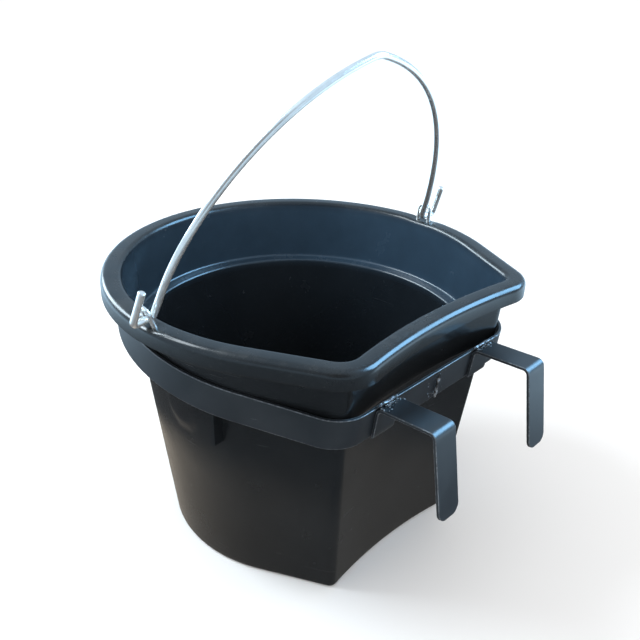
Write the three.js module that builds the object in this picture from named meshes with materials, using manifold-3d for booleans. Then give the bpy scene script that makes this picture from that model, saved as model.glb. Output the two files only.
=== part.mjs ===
// Flat-backed feed bucket with a wire bail, held in a flat-bar hanging carrier with two hooks.
//
// Millimetres, +Z up. The origin is on the ground, below the centre of the rim's round front.
// +Y points to the round front, -Y to the hollowed flat back, which hangs against a fence or gate.
//
// Every plan view here is the same family of D-shaped outline: a round front, two straight sides
// that touch it, two rounded back corners and a back wall that curves gently inwards.
// Heights on the bucket are given as depths below the top of the rim.
import * as THREE from 'three';
import { mergeVertices } from 'three/addons/utils/BufferGeometryUtils.js';
import Module from 'manifold-3d';

const wasm = await Module();
wasm.setup();

// ---------------------------------------------------------------- driving dimensions

const BUCKET_HEIGHT = 280;
const RIM = { halfWidth: 147.6, back: -176.8, corner: 37.7, hollow: 9.2, front: 200 };
const BASE = { halfWidth: 92.7, back: -130.7, corner: 8, hollow: 6.7, front: 138.7 };
const WALL = 3;                    // moulded wall thickness
const WALL_INSET = 23.5;           // lower wall's outer face from the rim's edge, projected up to the rim
const SKIRT_DEPTH = 17.4;          // hanging lip round the rim
const RIM_ROUND = 6.5;             // outer rounding of the rim
const RIM_LAND = 15;               // outer edge to where the rim rolls down into the bucket
const COLLAR_INSET_TOP = 17.6;     // outer face of the wide collar below the rim
const COLLAR_INSET_BOTTOM = 22.3;
const COLLAR_LIP = 2.4;            // collar's thickness where the rim rolls into it
const COLLAR_DEPTH = 60;           // where the collar starts to turn in
const LEDGE_DEPTH = 70;            // underside of the step from the collar to the lower wall
const FLOOR = 3.5;

const RIB_DEPTH = 112;             // foot of the two side ribs, which hang from the collar's step
const RIB_TAPER = 1.5;             // how far their outer edge draws in towards the foot
const RIB_THICKNESS = 3.5;
const RIB_TURN = 0.295;            // radians behind the widest point, where they stand

const EYELET_WIRE = 4.4;
const EYELET_LEG_GAP = 14;         // between the centres of the two legs
const EYELET_RISE = 17;            // top of the loop's centre line above the rim
const EYELET_LOOP_BEND = 6.4;
const EYELET_FOOT_BEND = 3.2;
const EYELET_FOOT_DEPTH = 7.6;     // clinched feet, below the top of the rim
const EYELET_FOOT = 4;
const EYELET_LEFT = { x: 193.1, lean: 0.35 };  // lean in radians, outwards; the left one is pulled over
const EYELET_RIGHT = { x: 189.8, lean: 0.09 };

// Each half of the bail has been bent by hand to its own curve, and ends in a turned-up stub.
// Leans are radians, inwards.
const BAIL_LEFT = {
  leg: 188.1, elbow: 184.1, lean: 0.176, sideReach: 68.6, crownReach: 106.5,
  end: 207.9, stub: 36, stubLean: 0.1,
};
const BAIL_RIGHT = {
  leg: 186.5, elbow: 182.1, lean: 0.265, sideReach: 85.1, crownReach: 100,
  end: 208.4, stub: 38.5, stubLean: 0.15,
};
const BAIL_WIRE = 6.6;
const BAIL_X = -1;                 // middle of the bail, across the bucket
const BAIL_Y = -2.5;               // pivot line, along the bucket
const BAIL_PIVOT_RISE = 4;         // pivot line above the rim
const BAIL_LEAN = THREE.MathUtils.degToRad(19.4); // towards the flat back
const BAIL_ELBOW_RISE = 25;        // where each straight leg turns in, above the pivot line
const BAIL_SWEEP_RISE = 31;        // where each side's long curve starts
const BAIL_PEAK = 215.6;           // where the two sides' lines meet, above the pivot line
const BAIL_CROWN_SLOPE = 0.256;    // radians
const BAIL_CROWN = 8;              // half width of the rounded crown
const BAIL_LEVEL = 197;            // the pivot line is level to here, and dips beyond the rim
const BAIL_DIP = 2;
const BAIL_BEND = 4.5;
const BAIL_ELBOW_BEND = 90;

const BAND = { halfWidth: 137.8, back: -165.1, corner: 38.2, hollow: 0, front: 184.2, frontCentre: 2.6 };
const BAND_HEIGHT = 30;
const BAR = 3;                     // flat-bar thickness of the band and the hooks
const BAND_DEPTH = 36.8;           // top edge of the band below the rim, at the bucket's middle
const BAND_TILT = 0.12;            // the band sits high at the front, low at the hooks

const HOOK_WIDTH = 28;
const HOOK_X = 72.5;
const HOOK_REACH = 56;             // band to the outside of the outer leg, along the top
const HOOK_DROP = 82;              // length of the outer leg
const HOOK_BEND = 6;               // outside radius of the two bends
const HOOK_TOP_RISE = THREE.MathUtils.degToRad(10);  // top plate, upwards from the band's own plane
const HOOK_LEG_SPLAY = THREE.MathUtils.degToRad(17); // outer leg, outwards from the inner leg
const HOOK_END_ROUND = 9;

const WELD = 3.6;                  // width of a weld bead
const SEAM_X = 3;                  // the weld that closes the band, just off the middle of the back
const GAP = 0.3;                   // left between neighbouring pieces

// ---------------------------------------------------------------- outlines

// The same outline, moved inwards by a distance.
function inset(o, distance) {
  return {
    halfWidth: o.halfWidth - distance,
    back: o.back + distance,
    corner: o.corner - distance,
    hollow: o.hollow,
    front: o.front - distance,
    frontCentre: o.frontCentre ?? 0,
  };
}

// Outer face of the tapering lower wall at a depth below the rim.
function lowerWall(depth) {
  const top = inset(RIM, WALL_INSET);
  const t = depth / BUCKET_HEIGHT;
  const mix = (key) => THREE.MathUtils.lerp(top[key], BASE[key], t);
  return {
    halfWidth: mix('halfWidth'),
    back: mix('back'),
    corner: mix('corner'),
    hollow: mix('hollow'),
    front: mix('front'),
    frontCentre: 0,
  };
}

// Points of an outline, anticlockwise from above. Every hollow-backed outline has the same count.
function outlinePoints(o, { frontSteps = 17, cornerSteps = 5, backSteps = 4 } = {}) {
  const frontY = o.frontCentre ?? 0;
  const corner = new THREE.Vector2(o.halfWidth - o.corner, o.back + o.corner);
  const toCorner = new THREE.Vector2(corner.x, corner.y - frontY);
  const sideNormal =
    Math.atan2(toCorner.y, toCorner.x) + Math.acos((o.front - o.corner) / toCorner.length());

  // The back is an arc tangent to both corners, or a straight line when it isn't hollow.
  const rise = corner.y - (o.back + o.hollow);
  const hollowed = o.hollow > 0;
  const backRadius = hollowed
    ? (corner.x ** 2 + rise ** 2 - o.corner ** 2) / (2 * (o.corner - rise))
    : Infinity;
  const backCentreY = o.back + o.hollow - backRadius;
  const cornerEnd = hollowed ? Math.atan2(backCentreY - corner.y, -corner.x) : -Math.PI / 2;

  const half = new THREE.ArcCurve(0, frontY, o.front, Math.PI / 2, sideNormal, true)
    .getPoints(frontSteps);
  half.push(...new THREE.ArcCurve(corner.x, corner.y, o.corner, sideNormal, cornerEnd, true)
    .getPoints(cornerSteps));
  if (hollowed) {
    const backStart = Math.atan2(corner.y - backCentreY, corner.x);
    half.push(...new THREE.ArcCurve(0, backCentreY, backRadius, backStart, Math.PI / 2, false)
      .getPoints(backSteps).slice(1));
  } else {
    half.push(new THREE.Vector2(0, o.back));
  }
  const mirrored = half.slice(1, -1).reverse().map((p) => new THREE.Vector2(-p.x, p.y));
  return [...half, ...mirrored].reverse();
}

// ---------------------------------------------------------------- solids

// A closed skin through stacked outlines, from a cap on the first to a cap on the last.
function skin(rings) {
  const positions = [];
  for (const { outline, z } of rings) {
    for (const p of outlinePoints(outline)) {
      positions.push(p.x, p.y, z);
    }
  }
  const count = outlinePoints(rings[0].outline).length;
  const index = [];
  for (let i = 0; i < rings.length - 1; i++) {
    for (let j = 0; j < count; j++) {
      const k = (j + 1) % count;
      const [a, b, c, d] = [i * count + j, i * count + k, (i + 1) * count + k, (i + 1) * count + j];
      index.push(a, c, b, a, d, c);
    }
  }
  const cap = (ring, facing) => {
    const triangles = THREE.ShapeUtils.triangulateShape(outlinePoints(rings[ring].outline), []);
    for (const [a, b, c] of triangles) {
      const [p, q, r] = [a, b, c].map((v) => v + ring * count);
      index.push(...(facing ? [p, q, r] : [p, r, q]));
    }
  };
  cap(0, true);
  cap(rings.length - 1, false);
  const geometry = new THREE.BufferGeometry();
  geometry.setAttribute('position', new THREE.Float32BufferAttribute(positions, 3));
  geometry.setIndex(index);
  return geometry;
}

// A round wire bent along a curve.
function wire(curve, diameter, steps, sides) {
  const section = new THREE.Shape(
    Array.from({ length: sides }, (_, i) => {
      const turn = (i / sides) * 2 * Math.PI;
      return new THREE.Vector2(Math.cos(turn), Math.sin(turn)).multiplyScalar(diameter / 2);
    }),
  );
  return new THREE.ExtrudeGeometry(section, { steps, extrudePath: curve, bevelEnabled: false });
}

// Straight stretches between points, with each inner point bent to its own radius.
function bentPath(points, radii) {
  const path = new THREE.CurvePath();
  let start = points[0];
  for (let i = 1; i < points.length - 1; i++) {
    const corner = points[i];
    const back = points[i - 1].clone().sub(corner).normalize();
    const ahead = points[i + 1].clone().sub(corner).normalize();
    const reach = radii[i - 1] / Math.tan(back.angleTo(ahead) / 2);
    const enter = corner.clone().addScaledVector(back, reach);
    const leave = corner.clone().addScaledVector(ahead, reach);
    path.add(new THREE.LineCurve3(start, enter));
    path.add(new THREE.QuadraticBezierCurve3(enter, corner, leave));
    start = leave;
  }
  path.add(new THREE.LineCurve3(start, points.at(-1)));
  return path;
}

// Turns an extruded shape upright: its x stays, its y becomes z, and its thickness is centred on y = 0.
function upright(shape, thickness) {
  const geometry = new THREE.ExtrudeGeometry(shape, { depth: thickness, bevelEnabled: false });
  geometry.translate(0, 0, -thickness / 2);
  geometry.rotateX(Math.PI / 2);
  return geometry;
}

function toSolid(geometry) {
  const bare = geometry.clone();
  bare.deleteAttribute('normal');
  bare.deleteAttribute('uv');
  const merged = mergeVertices(bare, 1e-4);
  return new wasm.Manifold(new wasm.Mesh({
    numProp: 3,
    vertProperties: new Float32Array(merged.attributes.position.array),
    triVerts: new Uint32Array(merged.index.array),
  }));
}

function toGeometry(solid) {
  const mesh = solid.getMesh();
  const geometry = new THREE.BufferGeometry();
  geometry.setAttribute('position', new THREE.BufferAttribute(mesh.vertProperties, 3));
  geometry.setIndex(new THREE.BufferAttribute(mesh.triVerts, 1));
  return geometry;
}

function piece(name, geometry, material) {
  const mesh = new THREE.Mesh(geometry, material);
  mesh.name = name;
  return mesh;
}

// ---------------------------------------------------------------- materials

const mouldedPlastic = new THREE.MeshStandardMaterial({ color: 0x14181c, roughness: 0.28, metalness: 0 });
const zincWire = new THREE.MeshStandardMaterial({ color: 0xb9c3c9, roughness: 0.3, metalness: 1 });
const paintedSteel = new THREE.MeshStandardMaterial({ color: 0x20262c, roughness: 0.45, metalness: 0.2 });
const weldMetal = new THREE.MeshStandardMaterial({ color: 0x8f969a, roughness: 0.6, metalness: 0.8 });

// ---------------------------------------------------------------- bucket

function bucketSkin() {
  const rim = (distance, depth) => ({ outline: inset(RIM, distance), z: BUCKET_HEIGHT - depth });
  const wall = (distance, depth) => ({
    outline: inset(lowerWall(depth), distance),
    z: BUCKET_HEIGHT - depth,
  });
  // A point of the rim's rounding, turned from the flat top (0) to the skirt (90 degrees).
  const rimRound = (radius, degrees) => {
    const turn = THREE.MathUtils.degToRad(degrees);
    return rim(RIM_ROUND - radius * Math.sin(turn), RIM_ROUND - radius * Math.cos(turn));
  };
  const collarInner = COLLAR_INSET_BOTTOM + WALL;

  return skin([
    // inside, from the floor up to the rim
    wall(WALL + 4, BUCKET_HEIGHT - FLOOR),
    wall(WALL + 1.2, BUCKET_HEIGHT - FLOOR - 1.2),
    wall(WALL, BUCKET_HEIGHT - FLOOR - 4),
    wall(WALL, LEDGE_DEPTH + 0.5),
    wall(WALL - 1, LEDGE_DEPTH - WALL + 1),
    wall(WALL - 3, LEDGE_DEPTH - WALL),
    rim(collarInner + 2.5, LEDGE_DEPTH - WALL - 1),
    rim(collarInner + 0.4, COLLAR_DEPTH + 2),
    rim(COLLAR_INSET_TOP + COLLAR_LIP, 5),
    rim(COLLAR_INSET_TOP + COLLAR_LIP - 1.5, 1.5),
    rim(RIM_LAND, 0),
    // over the rim and down the outside of the skirt
    rimRound(RIM_ROUND, 0),
    rimRound(RIM_ROUND, 30),
    rimRound(RIM_ROUND, 60),
    rimRound(RIM_ROUND, 90),
    rim(0, SKIRT_DEPTH),
    // up inside the skirt, under the rim and down the collar
    rim(WALL, SKIRT_DEPTH),
    rimRound(RIM_ROUND - WALL, 90),
    rimRound(RIM_ROUND - WALL, 45),
    rimRound(RIM_ROUND - WALL, 0),
    rim(COLLAR_INSET_TOP - 2, WALL),
    rim(COLLAR_INSET_TOP, WALL + 2),
    rim(COLLAR_INSET_BOTTOM, COLLAR_DEPTH),
    rim(COLLAR_INSET_BOTTOM + 0.9, LEDGE_DEPTH - 5),
    rim(COLLAR_INSET_BOTTOM + 3.2, LEDGE_DEPTH - 1.5),
    rim(COLLAR_INSET_BOTTOM + 6, LEDGE_DEPTH),
    wall(0, LEDGE_DEPTH + 1.5),
    // down the lower wall and under the floor
    wall(0, BUCKET_HEIGHT - 5),
    wall(1.4, BUCKET_HEIGHT - 1.4),
    wall(5, BUCKET_HEIGHT),
  ]);
}

// A rib on the side: it hangs from the collar's step and dies into the lower wall.
function sideRib(side) {
  const outer = RIM.front - COLLAR_INSET_BOTTOM - 0.4;
  const buried = lowerWall(RIB_DEPTH).front - WALL / 2;
  const shape = new THREE.Shape([
    new THREE.Vector2(outer, -LEDGE_DEPTH + 4),
    new THREE.Vector2(outer - RIB_TAPER, -RIB_DEPTH),
    new THREE.Vector2(buried, -RIB_DEPTH - 3),
    new THREE.Vector2(lowerWall(LEDGE_DEPTH).front - WALL / 2, -LEDGE_DEPTH + 1.5),
  ]);
  const geometry = upright(shape, RIB_THICKNESS);
  geometry.rotateZ(-RIB_TURN);
  geometry.translate(0, 0, BUCKET_HEIGHT);
  const solid = toSolid(geometry);
  return side > 0 ? solid : solid.mirror([1, 0, 0]);
}

// Moves an upright eyelet, or its holes, from the origin to its leaning place in the rim.
function seatEyelet(geometry, side) {
  const { x, lean } = side > 0 ? EYELET_RIGHT : EYELET_LEFT;
  geometry.rotateY(side * lean);
  geometry.translate(side * x, BAIL_Y, BUCKET_HEIGHT);
  return geometry;
}

function eyeletLegHole(side, end) {
  const hole = new THREE.CylinderGeometry(EYELET_WIRE / 2 + GAP, EYELET_WIRE / 2 + GAP, 12, 16);
  hole.rotateX(Math.PI / 2);
  hole.translate(0, (end * EYELET_LEG_GAP) / 2, 0);
  return toSolid(seatEyelet(hole, side));
}

function bucketShell() {
  let shell = toSolid(bucketSkin());
  for (const side of [-1, 1]) {
    shell = shell.add(sideRib(side));
    for (const end of [-1, 1]) {
      shell = shell.subtract(eyeletLegHole(side, end));
    }
  }
  return toGeometry(shell);
}

// ---------------------------------------------------------------- eyelets and bail

// A wire staple through the rim, its loop standing across the pivot line and its feet turned inboard.
function eyelet(side) {
  const at = (inboard, end, z) => new THREE.Vector3(-side * inboard, (end * EYELET_LEG_GAP) / 2, z);
  const path = bentPath([
    at(EYELET_FOOT, -1, -EYELET_FOOT_DEPTH),
    at(0, -1, -EYELET_FOOT_DEPTH),
    at(0, -1, EYELET_RISE),
    at(0, 1, EYELET_RISE),
    at(0, 1, -EYELET_FOOT_DEPTH),
    at(EYELET_FOOT, 1, -EYELET_FOOT_DEPTH),
  ], [EYELET_FOOT_BEND, EYELET_LOOP_BEND, EYELET_LOOP_BEND, EYELET_FOOT_BEND]);
  return seatEyelet(wire(path, EYELET_WIRE, 40, 8), side);
}

// One half of the bail, from its turned-up end to where the crown's rounding starts.
function bailHalf(side) {
  const own = side > 0 ? BAIL_RIGHT : BAIL_LEFT;
  const at = (x, z) => new THREE.Vector3(side * x, 0, z);
  const sweepX = own.elbow - (BAIL_SWEEP_RISE - BAIL_ELBOW_RISE) * Math.tan(own.lean);
  const crownZ = BAIL_PEAK - BAIL_CROWN * Math.tan(BAIL_CROWN_SLOPE);
  const end = bentPath([
    at(own.end - own.stub * Math.sin(own.stubLean), own.stub * Math.cos(own.stubLean) - BAIL_DIP),
    at(own.end, -BAIL_DIP),
    at(BAIL_LEVEL, 0),
    at(own.leg, 0),
    at(own.elbow, BAIL_ELBOW_RISE),
    at(sweepX, BAIL_SWEEP_RISE),
  ], [BAIL_BEND, BAIL_BEND, BAIL_BEND, BAIL_ELBOW_BEND]);
  const sweep = new THREE.CubicBezierCurve3(
    at(sweepX, BAIL_SWEEP_RISE),
    at(
      sweepX - own.sideReach * Math.sin(own.lean),
      BAIL_SWEEP_RISE + own.sideReach * Math.cos(own.lean),
    ),
    at(
      BAIL_CROWN + own.crownReach * Math.cos(BAIL_CROWN_SLOPE),
      crownZ - own.crownReach * Math.sin(BAIL_CROWN_SLOPE),
    ),
    at(BAIL_CROWN, crownZ),
  );
  return [...end.curves, sweep];
}

// The bail stands in its own XZ plane, with the pivot line at z = 0.
function bailPath() {
  const reversed = (curve) => {
    const points = ['v3', 'v2', 'v1', 'v0'].filter((key) => curve[key]).map((key) => curve[key]);
    return new curve.constructor(...points);
  };
  const [left, right] = [bailHalf(-1), bailHalf(1)];
  const path = new THREE.CurvePath();
  left.forEach((curve) => path.add(curve));
  path.add(new THREE.QuadraticBezierCurve3(
    left.at(-1).v3, new THREE.Vector3(0, 0, BAIL_PEAK), right.at(-1).v3,
  ));
  right.reverse().forEach((curve) => path.add(reversed(curve)));
  return path;
}

// ---------------------------------------------------------------- carrier

// The carrier's pieces stand in the band's own frame: its top edge is the plane z = 0.
function band() {
  const shape = new THREE.Shape(outlinePoints(BAND));
  shape.holes.push(new THREE.Path(outlinePoints(inset(BAND, BAR))));
  const geometry = new THREE.ExtrudeGeometry(shape, { depth: BAND_HEIGHT, bevelEnabled: false });
  geometry.translate(0, 0, -BAND_HEIGHT);
  return geometry;
}

// Side view of a bar bent along points, as a closed shape of the bar's thickness.
function barProfile(points, radius) {
  const path = bentPath(points, points.slice(2).map(() => radius));
  const centre = path.curves.flatMap((curve, i) => {
    const steps = curve instanceof THREE.LineCurve3 ? 1 : 5;
    return Array.from({ length: steps + 1 }, (_, k) => ({
      point: curve.getPoint(k / steps),
      tangent: curve.getTangent(k / steps),
    })).slice(i ? 1 : 0);
  });
  const edge = (offset) => centre.map(({ point, tangent }) => new THREE.Vector2(
    point.x - tangent.y * offset, point.y + tangent.x * offset,
  ));
  return new THREE.Shape([...edge(BAR / 2), ...edge(-BAR / 2).reverse()]);
}

// A flat-bar hook: one leg on the band's outer face, a plate over the rail, and a longer outer leg.
function hook() {
  const legAngle = -Math.PI / 2 - HOOK_LEG_SPLAY;
  const inner = new THREE.Vector3(0, 0, 0);
  const outer = new THREE.Vector3(HOOK_REACH, HOOK_REACH * Math.tan(HOOK_TOP_RISE), 0);
  const side = barProfile([
    new THREE.Vector3(0, -BAND_HEIGHT, 0),
    inner,
    outer,
    new THREE.Vector3(
      outer.x - HOOK_DROP * Math.cos(legAngle), outer.y + HOOK_DROP * Math.sin(legAngle), 0,
    ),
  ], HOOK_BEND - BAR / 2);
  const sideView = upright(side, HOOK_WIDTH);
  sideView.rotateZ(-Math.PI / 2);

  const [half, top] = [HOOK_WIDTH / 2, HOOK_BEND + outer.y];
  const foot = outer.y - HOOK_DROP * Math.cos(HOOK_LEG_SPLAY) - BAR / 2;
  const front = new THREE.Shape();
  front.moveTo(-half, top);
  front.lineTo(-half, foot + HOOK_END_ROUND);
  front.absarc(-half + HOOK_END_ROUND, foot + HOOK_END_ROUND, HOOK_END_ROUND, Math.PI, 1.5 * Math.PI);
  front.absarc(half - HOOK_END_ROUND, foot + HOOK_END_ROUND, HOOK_END_ROUND, 1.5 * Math.PI, 2 * Math.PI);
  front.lineTo(half, top);
  const frontView = new THREE.ExtrudeGeometry(front, {
    depth: 3 * HOOK_REACH, bevelEnabled: false, curveSegments: 6,
  });
  frontView.rotateX(Math.PI / 2);
  frontView.translate(0, HOOK_REACH, 0);
  return toGeometry(toSolid(sideView).intersect(toSolid(frontView)));
}

// A lumpy run of weld metal along x, centred on the origin.
function weldBead(length, width) {
  const lumps = 7;
  const rings = 2 * lumps;
  const profile = Array.from({ length: rings + 1 }, (_, i) => {
    const along = i / rings - 0.5;
    const swell = i % 2 ? 1 : 0.78;
    const closing = i === 0 || i === rings ? 0 : 1;
    return new THREE.Vector2((closing * swell * width) / 2, along * length);
  });
  const bead = new THREE.LatheGeometry(profile, 8);
  bead.rotateZ(-Math.PI / 2);
  return bead;
}

function carrier() {
  const group = new THREE.Group();
  group.position.z = BUCKET_HEIGHT - BAND_DEPTH;
  group.rotation.x = BAND_TILT;
  group.add(piece('carrier_band', band(), paintedSteel));

  const hookGeometry = hook();
  for (const [name, x] of [['left', -HOOK_X], ['right', HOOK_X]]) {
    const bar = piece(`hook_${name}`, hookGeometry, paintedSteel);
    bar.position.set(x, BAND.back - GAP - BAR / 2, 0);
    const weld = piece(`hook_weld_${name}`, weldBead(HOOK_WIDTH, WELD), weldMetal);
    weld.position.set(x, BAND.back - 0.15 * WELD, 0.5 * WELD + GAP);
    group.add(bar, weld);
  }
  const seam = piece('band_seam_weld', weldBead(BAND_HEIGHT - 2, WELD), weldMetal);
  seam.rotation.y = Math.PI / 2;
  seam.position.set(SEAM_X, BAND.back - 0.5 * WELD - GAP, -BAND_HEIGHT / 2);
  group.add(seam);
  return group;
}

// ---------------------------------------------------------------- assembly

const bucket = new THREE.Group();
bucket.add(piece('bucket_shell', bucketShell(), mouldedPlastic));
bucket.add(piece('eyelet_left', eyelet(-1), zincWire));
bucket.add(piece('eyelet_right', eyelet(1), zincWire));

const bail = piece('bail_handle', wire(bailPath(), BAIL_WIRE, 170, 8), zincWire);
bail.position.set(BAIL_X, BAIL_Y, BUCKET_HEIGHT + BAIL_PIVOT_RISE);
bail.rotation.x = BAIL_LEAN;

const feedBucket = new THREE.Group();
feedBucket.add(bucket, bail, carrier());

export default feedBucket;
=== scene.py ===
"""Flat-backed feed bucket with a wire bail, held in a painted flat-bar carrier with two hooks.

Metres, +Z up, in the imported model's frame: the origin is on the ground below the centre of the
rim's round front, +Y points to the round front and -Y to the hollowed flat back.
"""

import math
import random
from dataclasses import dataclass

import bpy
from mathutils import Matrix, Vector, noise


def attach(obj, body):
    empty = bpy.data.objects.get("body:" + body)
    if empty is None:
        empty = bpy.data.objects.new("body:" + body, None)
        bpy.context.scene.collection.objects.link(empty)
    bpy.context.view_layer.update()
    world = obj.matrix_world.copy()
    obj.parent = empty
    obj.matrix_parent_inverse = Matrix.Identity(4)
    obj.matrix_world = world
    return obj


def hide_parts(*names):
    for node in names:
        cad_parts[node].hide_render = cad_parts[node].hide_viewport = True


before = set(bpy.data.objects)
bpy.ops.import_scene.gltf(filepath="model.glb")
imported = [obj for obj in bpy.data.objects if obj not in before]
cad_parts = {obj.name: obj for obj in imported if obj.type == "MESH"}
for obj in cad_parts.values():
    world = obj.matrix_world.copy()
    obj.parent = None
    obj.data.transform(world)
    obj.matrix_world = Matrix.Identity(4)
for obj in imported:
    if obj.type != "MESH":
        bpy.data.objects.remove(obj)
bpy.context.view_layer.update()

MM = 0.001

# ---------------------------------------------------------------- driving dimensions

BUCKET_HEIGHT = 280 * MM
WALL = 3 * MM                    # moulded wall thickness
WALL_INSET = 23.5 * MM           # lower wall's outer face from the rim's edge, projected up to the rim
SKIRT_DEPTH = 17.4 * MM          # hanging lip round the rim
RIM_ROUND = 6.5 * MM             # outer rounding of the rim
RIM_ROLL = 5 * MM                # inner rounding, where the rim rolls down into the bucket
COLLAR_INSET_TOP = 17.6 * MM     # outer face of the wide collar below the rim
COLLAR_INSET_BOTTOM = 22.3 * MM
COLLAR_LIP = 2.4 * MM            # collar's thickness where the rim rolls into it
LEDGE_DEPTH = 70 * MM            # underside of the step from the collar to the lower wall
LEDGE_FALL = 1.2 * MM            # how much the ledge inside drops towards the middle
SHOULDER_FALL = 1.5 * MM         # the same for the step's underside
FLOOR = 3.5 * MM

# Where the roundings of the shell's profile start, from their corners.
SKIRT_EDGE = 0.9 * MM
SKIRT_ROOT = 3.5 * MM
COLLAR_ROOT = 2 * MM
LEDGE_ROUND = 2.6 * MM
SHOULDER_ROUND = 6.5 * MM
FLOOR_ROUND = 4 * MM
BASE_ROUND = 5 * MM
BASE_LAND = 6 * MM               # width of the flat strip modelled round the floor and the base

RIB_DEPTH = 112 * MM             # foot of the two side ribs
RIB_TAPER = 1.5 * MM             # how far their outer edge draws in towards the foot
RIB_THICKNESS = 3.5 * MM
RIB_TURN = 0.295                 # radians behind the widest point

PAD_DEPTH = 118 * MM             # foot of the shallow pad moulded below each eyelet
PAD_HALF_WIDTH = 22 * MM
PAD_PROUD = 1.1 * MM
PAD_EDGE = 2.5 * MM              # width of the slope round the pad

SHEEN_END = 40 * MM               # height at which the painted sky sheen inside has faded out to painted shade
# share of the painted sky sheen kept just below the ledge
SHEEN_BELOW_LEDGE = 0.10

EYELET_WIRE = 4.4 * MM
EYELET_LEG_GAP = 14 * MM         # between the staple's two legs
EYELET_RISE = 17 * MM            # top of the loop above the rim
EYELET_LOOP_BEND = 6.4 * MM
EYELET_FOOT_BEND = 3.2 * MM
EYELET_FOOT_DEPTH = 7.6 * MM     # clinched feet below the rim's top
EYELET_FOOT = 4 * MM
EYELET_X = {-1: 193.1 * MM, 1: 189.8 * MM}
EYELET_LEAN = {-1: 0.35, 1: 0.09}  # radians, outwards
EYELET_DIMPLE = 1.6 * MM         # the rim is drawn down a little where the staple is clinched
EYELET_DIMPLE_REACH = 9 * MM

BAIL_WIRE = 6.6 * MM
BAIL_X = -1 * MM                 # middle of the bail, across the bucket
BAIL_Y = -2.5 * MM               # pivot line, along the bucket
BAIL_PIVOT_RISE = 4 * MM         # pivot line above the rim
BAIL_LEAN = math.radians(19.4)   # towards the flat back
BAIL_ELBOW_RISE = 25 * MM        # where each straight leg turns in, above the pivot line
BAIL_SWEEP_RISE = 31 * MM        # where each side's long curve starts
BAIL_PEAK = 215.6 * MM           # where the two sides' lines meet, above the pivot line
BAIL_CROWN_SLOPE = 0.256         # radians
BAIL_CROWN = 8 * MM              # half width of the rounded crown
BAIL_LEVEL = 197 * MM            # the pivot line is level to here, and dips beyond the rim
BAIL_DIP = 2 * MM
BAIL_BEND = 6 * MM               # how far before each tight corner its bend starts
BAIL_ELBOW_BEND = 5.5 * MM

WIRE_CHAMFER = 0.12              # of the cut ends, as a share of the wire's diameter
WIRE_WOBBLE = 0.012              # unevenness of the drawn wire, as a share of its radius
WIRE_PATTERN = 3 * MM            # radius at which every wire's surface pattern is read

BAND_HEIGHT = 30 * MM
BAR = 3 * MM                     # flat-bar thickness of the band and the hooks
BAR_EDGE = 0.55 * MM             # rolled edge of the bar
BAND_DEPTH = 36.8 * MM           # top edge of the band below the rim, at the bucket's middle
BAND_TILT = 0.12                 # radians, low at the back
BAND_SWAY = 0.22 * MM            # how far the band strays from its outline
BAND_SWAY_RATE = 14.0            # how quickly it does so, per metre

HOOK_WIDTH = 28 * MM
HOOK_X = 72.5 * MM
HOOK_REACH = 56 * MM             # of the top plate, back from the band
HOOK_DROP = 82 * MM              # length of the outer leg
HOOK_BEND = 4.5 * MM             # centre-line radius of the two bends
HOOK_TOP_RISE = math.radians(10)
HOOK_LEG_SPLAY = math.radians(17)
HOOK_END_ROUND = 9 * MM

WELD = 3.6 * MM                  # width of the beads
GAP = 0.3 * MM                   # between a weld or a hook and the band
SEAM_X = 3 * MM
SPATTER_PROUD = 0.8              # height of a drop of spatter, as a share of its radius
HOOK_SPATTER = 70                # drops drawn for each hook's weld, before those off the plate go
SEAM_SPATTER = 46


# ---------------------------------------------------------------- outlines

@dataclass(frozen=True)
class Outline:
    """A D-shaped plan view: round front, straight sides, rounded back corners, hollowed back."""
    half_width: float
    back: float
    corner: float
    hollow: float
    front: float
    front_centre: float = 0.0

    def inset(self, distance):
        """The same outline, moved inwards by a distance."""
        return Outline(
            self.half_width - distance, self.back + distance, self.corner - distance,
            self.hollow, self.front - distance, self.front_centre,
        )


@dataclass(frozen=True)
class BailSide:
    """One hand-bent half of the bail. Leans are radians, inwards."""
    leg: float
    elbow: float
    lean: float
    side_reach: float
    crown_reach: float
    end: float
    stub: float
    stub_lean: float


BAIL_SIDES = {
    -1: BailSide(
        leg=188.1 * MM, elbow=184.1 * MM, lean=0.176, side_reach=68.6 * MM, crown_reach=106.5 * MM,
        end=207.9 * MM, stub=36 * MM, stub_lean=0.1,
    ),
    1: BailSide(
        leg=186.5 * MM, elbow=182.1 * MM, lean=0.265, side_reach=85.1 * MM, crown_reach=100 * MM,
        end=208.4 * MM, stub=38.5 * MM, stub_lean=0.15,
    ),
}

RIM = Outline(147.6 * MM, -176.8 * MM, 37.7 * MM, 9.2 * MM, 200 * MM)
BASE = Outline(92.7 * MM, -130.7 * MM, 8 * MM, 6.7 * MM, 138.7 * MM)
BAND = Outline(137.8 * MM, -165.1 * MM, 38.2 * MM, 0, 184.2 * MM, 2.6 * MM)

FRONT_STEPS = 110
SIDE_STEPS = 26
CORNER_STEPS = 18
BACK_STEPS = 36
SHELL_STEP = 6 * MM              # longest stretch between two rows of the shell


def mix(a, b, t):
    return a + (b - a) * t


def fade(value, start, end):
    """0 at the start and before it, 1 at the end and beyond it, and smooth between them."""
    t = min(1.0, max(0.0, (value - start) / (end - start)))
    return t * t * (3 - 2 * t)


def lower_wall(depth):
    """Outer face of the tapering lower wall at a depth below the rim."""
    top = RIM.inset(WALL_INSET)
    t = depth / BUCKET_HEIGHT
    return Outline(
        mix(top.half_width, BASE.half_width, t), mix(top.back, BASE.back, t),
        mix(top.corner, BASE.corner, t), mix(top.hollow, BASE.hollow, t),
        mix(top.front, BASE.front, t),
    )


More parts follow.
